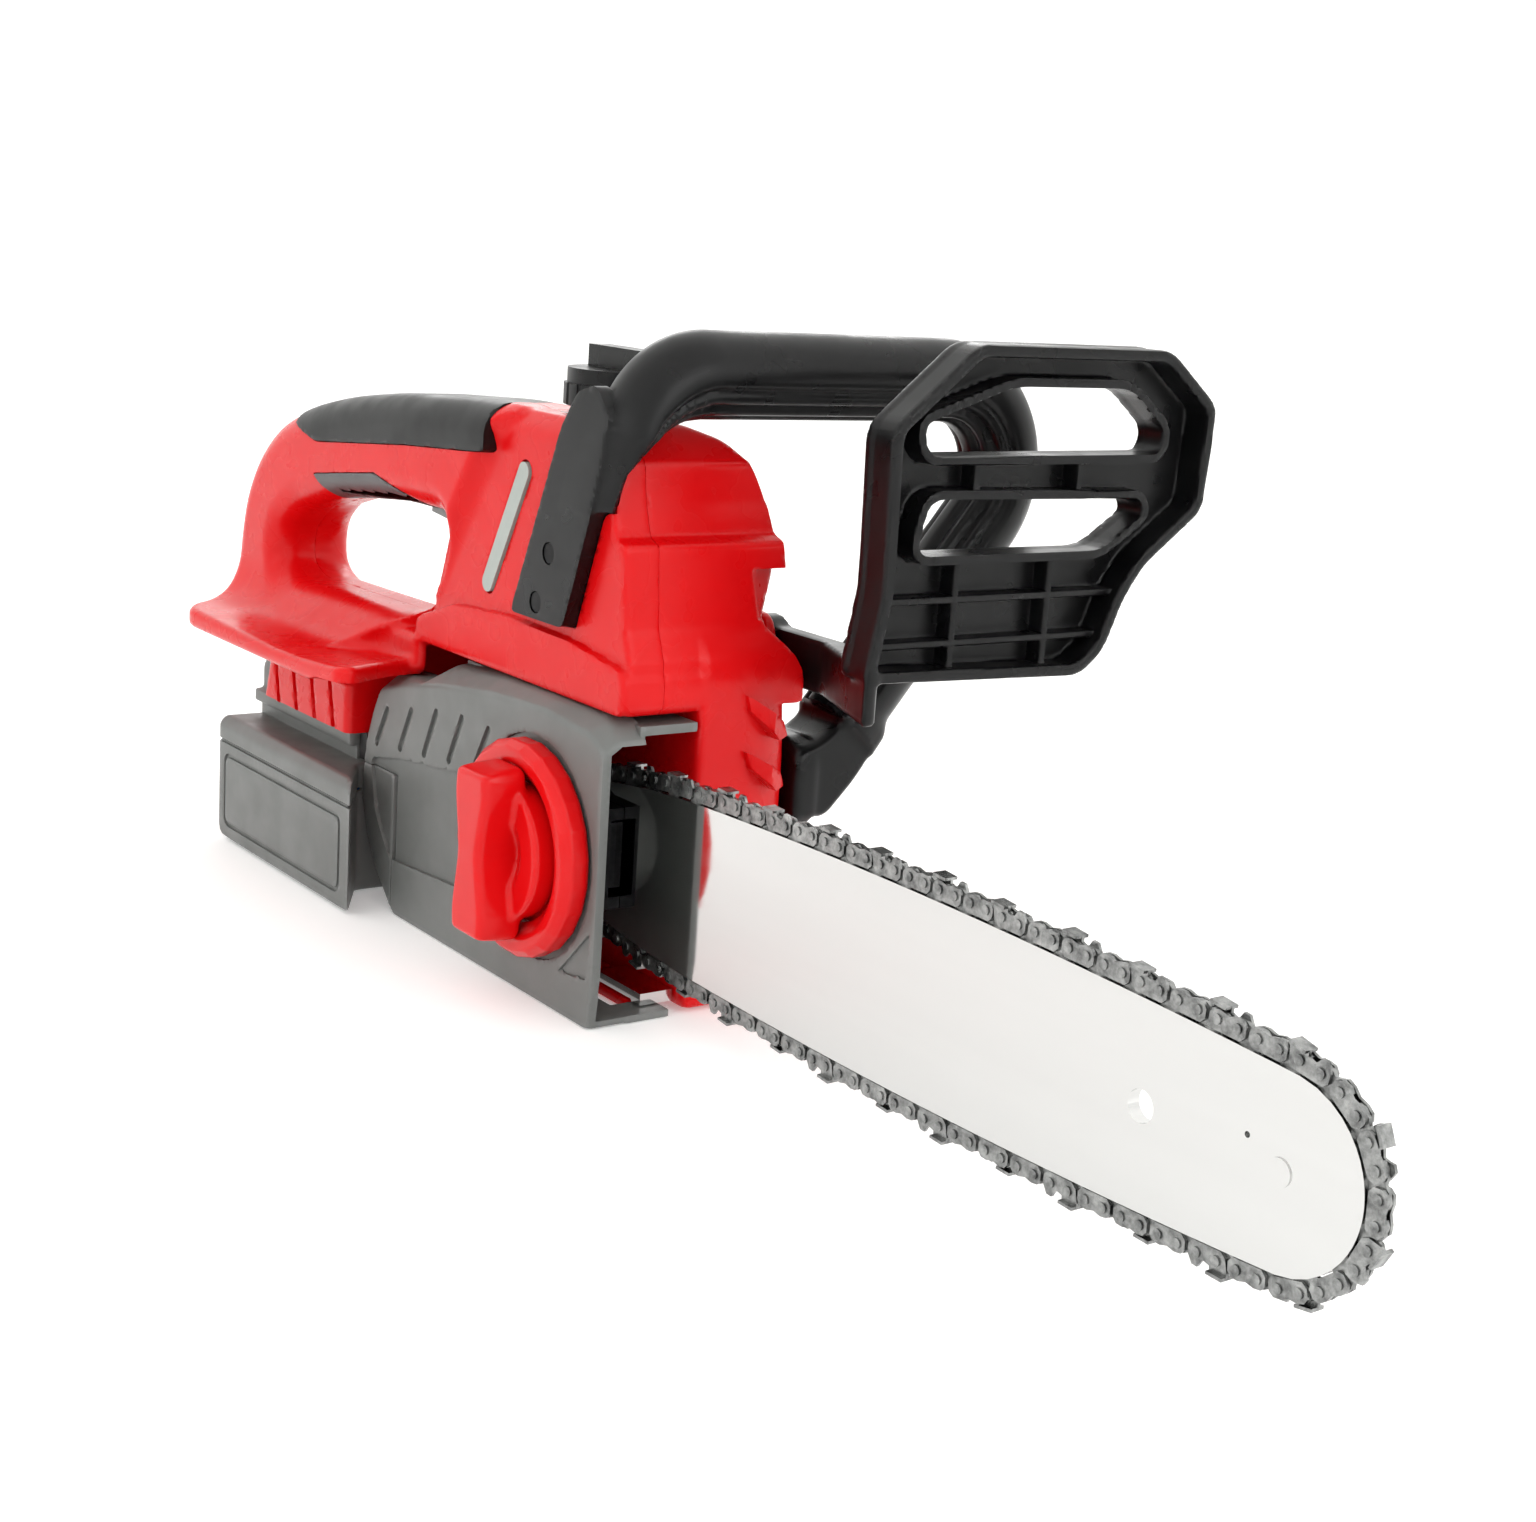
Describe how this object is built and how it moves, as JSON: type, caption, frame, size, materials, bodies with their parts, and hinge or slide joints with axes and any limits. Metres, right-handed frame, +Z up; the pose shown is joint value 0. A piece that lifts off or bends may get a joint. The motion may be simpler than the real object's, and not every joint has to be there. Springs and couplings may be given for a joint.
{
  "type": "chainsaw",
  "caption": "Cordless chainsaw with guide bar and chain, rear D handle, wrap-round front handle, hand guard, side cover with lock knob and tension ring, slide-out battery.",
  "frame": {"origin": "on the base plane straight under the drive sprocket's axis, in the middle plane of the guide bar", "axes": "+X forward along the guide bar, +Y to the saw's left, +Z up"},
  "size_m": [0.5899, 0.235, 0.223],
  "materials": {
    "red_abs": "satin",
    "red_knob": "satin",
    "cover_grey": "matte",
    "glass_nylon": "satin",
    "soft_grip": "matte",
    "seal_rubber": "matte",
    "clear_window": "gloss",
    "tank_plastic": "satin",
    "bar_steel": "brushed",
    "chain_steel": "oiled",
    "screw_steel": "blackened",
    "shaft_steel": "ground",
    "gearbox_alloy": "cast",
    "motor_copper": "enamelled",
    "motor_iron": "laminated",
    "board_green": "coated",
    "cell_blue": "shrink film",
    "contact_brass": "plated"
  },
  "bodies": {
    "saw_body": {"housing_left": "red_abs", "housing_right": "red_abs", "motor_cover": "red_abs", "rear_grip": "soft_grip", "finger_pad": "soft_grip", "oil_window": "clear_window", "oil_tank": "tank_plastic", "oil_cap_seal": "seal_rubber", "front_handle": "glass_nylon", "handle_screws": "screw_steel", "housing_screws": "screw_steel", "guard_pin": "screw_steel", "brake_band": "shaft_steel", "trigger_pin": "screw_steel", "main_switch": "glass_nylon", "control_board": "board_green", "terminal_block": "glass_nylon", "bar_stud": "screw_steel", "motor_stator": "motor_copper", "gearbox_plate": "gearbox_alloy", "shaft_bearings": "shaft_steel", "chain_catcher": "bar_steel", "rear_panel": "cover_grey"},
    "oil_cap": {"oil_cap": "glass_nylon"},
    "hand_guard": {"hand_guard": "glass_nylon"},
    "trigger": {"trigger": "cover_grey"},
    "lock_button": {"lock_button": "cover_grey"},
    "battery": {"battery_case": "cover_grey", "battery_lid": "cover_grey", "battery_cells": "cell_blue", "battery_contacts": "contact_brass"},
    "battery_latch": {"battery_latch": "glass_nylon"},
    "cover": {"sprocket_cover": "cover_grey", "guide_plate": "screw_steel"},
    "tension_ring": {"tension_ring": "red_knob"},
    "lock_knob": {"lock_knob": "red_knob", "knob_nut": "screw_steel"},
    "bar_and_chain": {"bar_plate_right": "bar_steel", "bar_plate_left": "bar_steel", "bar_core": "bar_steel", "bar_rivets": "bar_steel", "adjuster_plate": "bar_steel", "drive_link_set": "chain_steel", "tie_straps": "chain_steel", "cutters_right": "chain_steel", "cutters_left": "chain_steel", "chain_rivets": "chain_steel"},
    "nose_sprocket": {"nose_sprocket": "chain_steel"},
    "output_shaft": {"output_shaft": "shaft_steel", "drive_sprocket": "chain_steel", "drive_gear": "shaft_steel", "shaft_clip": "screw_steel", "brake_drum": "shaft_steel"},
    "motor_rotor": {"motor_rotor": "motor_iron", "motor_pinion": "shaft_steel"}
  },
  "joints": [
    {"name": "guard_tilt", "type": "hinge", "parent": "saw_body", "child": "hand_guard", "pos_m": [0.062, 0.062, 0.116], "axis": [0, 1, 0], "range_deg": [0, 20]},
    {"name": "trigger_pull", "type": "hinge", "parent": "saw_body", "child": "trigger", "pos_m": [-0.034, 0, 0.158], "axis": [0, 1, 0], "range_deg": [0, 8], "stiffness_Nm_per_rad": 0.3, "springref_deg": -8.59},
    {"name": "lock_press", "type": "slide", "parent": "saw_body", "child": "lock_button", "axis": [0, -1, 0], "range_m": [0, 0.003], "stiffness_N_per_m": 400, "springref_m": -0.002},
    {"name": "oil_cap_turn", "type": "hinge", "parent": "saw_body", "child": "oil_cap", "pos_m": [0.037, 0.016, 0.2], "axis": [0, 0, 1], "range_deg": [0, 90]},
    {"name": "battery_slide", "type": "slide", "parent": "saw_body", "child": "battery", "axis": [-1, 0, 0], "range_m": [0, 0.13]},
    {"name": "battery_latch_press", "type": "slide", "parent": "battery", "child": "battery_latch", "axis": [0, 0, -1], "range_m": [0, 0.003], "stiffness_N_per_m": 500, "springref_m": -0.002},
    {"name": "cover_slide", "type": "slide", "parent": "saw_body", "child": "cover", "axis": [0, -1, 0], "range_m": [0, 0.07]},
    {"name": "tension_turn", "type": "hinge", "parent": "cover", "child": "tension_ring", "pos_m": [0.054, -0.026, 0.051], "axis": [0, -1, 0], "range_deg": [0, 120]},
    {"name": "knob_turn", "type": "hinge", "parent": "cover", "child": "lock_knob", "pos_m": [0.054, -0.03, 0.051], "axis": [0, -1, 0], "range_deg": [0, 270]},
    {"name": "bar_slide", "type": "slide", "parent": "saw_body", "child": "bar_and_chain", "axis": [-1, 0, 0], "range_m": [0, 0.006]},
    {"name": "nose_spin", "type": "hinge", "parent": "bar_and_chain", "child": "nose_sprocket", "pos_m": [0.35848, 0, 0.051], "axis": [0, 1, 0], "continuous": true},
    {"name": "sprocket_spin", "type": "hinge", "parent": "saw_body", "child": "output_shaft", "pos_m": [0, 0, 0.051], "axis": [0, 1, 0], "continuous": true},
    {"name": "rotor_spin", "type": "hinge", "parent": "saw_body", "child": "motor_rotor", "pos_m": [0.028, 0.03, 0.072], "axis": [0, 1, 0], "continuous": true}
  ],
  "couplings": [
    {"joint": "bar_slide", "follows": "tension_turn", "m_per_rad": 0.00286},
    {"joint": "rotor_spin", "follows": "sprocket_spin", "ratio": -4},
    {"joint": "nose_spin", "follows": "sprocket_spin", "ratio": 0.9}
  ]
}
